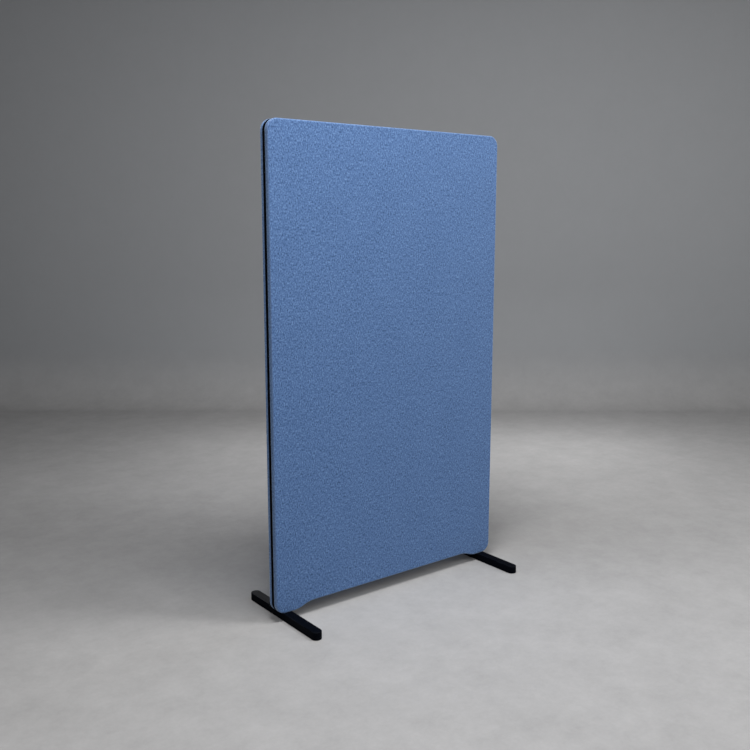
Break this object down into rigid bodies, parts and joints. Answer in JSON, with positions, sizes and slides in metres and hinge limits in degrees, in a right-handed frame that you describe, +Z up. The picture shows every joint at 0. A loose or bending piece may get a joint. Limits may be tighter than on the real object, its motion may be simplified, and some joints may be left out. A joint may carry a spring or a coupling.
{
  "type": "acoustic divider screen",
  "caption": "Free-standing acoustic screen: fabric-covered panel with rounded corners, black edge groove, shallow arch at the floor and black bar feet with levelling glides.",
  "frame": {"origin": "on the floor, under the middle of the panel", "axes": "+X to the right along the panel's width seen from the front, +Y to the back, +Z up"},
  "size_m": [1, 0.42, 1.65],
  "materials": {
    "blue_fabric": "matte",
    "grey_felt": "matte",
    "core_fibre": "matte",
    "hardboard": "matte",
    "frame_timber": "matte",
    "beech": "satin",
    "staple_wire": "satin",
    "white_nylon": "satin",
    "black_channel": "satin",
    "black_screw": "satin",
    "black_powder_coat": "satin",
    "insert_brass": "satin",
    "glide_nylon": "satin",
    "zinc_steel": "satin"
  },
  "bodies": {
    "screen": {"front_fabric_cover": "blue_fabric", "rear_fabric_cover": "blue_fabric", "front_absorber_pad": "grey_felt", "rear_absorber_pad": "grey_felt", "front_backing_board": "hardboard", "rear_backing_board": "hardboard", "front_staples": "staple_wire", "rear_staples": "staple_wire", "front_clip_studs": "white_nylon", "rear_clip_studs": "white_nylon", "clip_sockets": "white_nylon", "left_stile": "frame_timber", "right_stile": "frame_timber", "top_rail": "frame_timber", "middle_rail": "frame_timber", "bottom_rail": "frame_timber", "frame_dowels": "beech", "upper_core_slab": "core_fibre", "lower_core_slab": "core_fibre", "left_edge_channel": "black_channel", "right_edge_channel": "black_channel", "top_edge_channel": "black_channel", "top_left_corner_insert": "black_channel", "top_right_corner_insert": "black_channel", "bottom_left_corner_insert": "black_channel", "bottom_right_corner_insert": "black_channel", "channel_screws": "black_screw", "left_foot_bar": "black_powder_coat", "right_foot_bar": "black_powder_coat", "foot_screws": "black_screw", "foot_inserts": "insert_brass"},
    "left_front_glide": {"left_front_glide_pad": "glide_nylon", "left_front_glide_stud": "zinc_steel"},
    "left_rear_glide": {"left_rear_glide_pad": "glide_nylon", "left_rear_glide_stud": "zinc_steel"},
    "right_front_glide": {"right_front_glide_pad": "glide_nylon", "right_front_glide_stud": "zinc_steel"},
    "right_rear_glide": {"right_rear_glide_pad": "glide_nylon", "right_rear_glide_stud": "zinc_steel"}
  },
  "joints": [
    {"name": "left_front_glide_travel", "type": "slide", "parent": "screen", "child": "left_front_glide", "axis": [0, 0, -1], "range_m": [0, 0.008]},
    {"name": "left_rear_glide_travel", "type": "slide", "parent": "screen", "child": "left_rear_glide", "axis": [0, 0, -1], "range_m": [0, 0.008]},
    {"name": "right_front_glide_travel", "type": "slide", "parent": "screen", "child": "right_front_glide", "axis": [0, 0, -1], "range_m": [0, 0.008]},
    {"name": "right_rear_glide_travel", "type": "slide", "parent": "screen", "child": "right_rear_glide", "axis": [0, 0, -1], "range_m": [0, 0.008]}
  ]
}
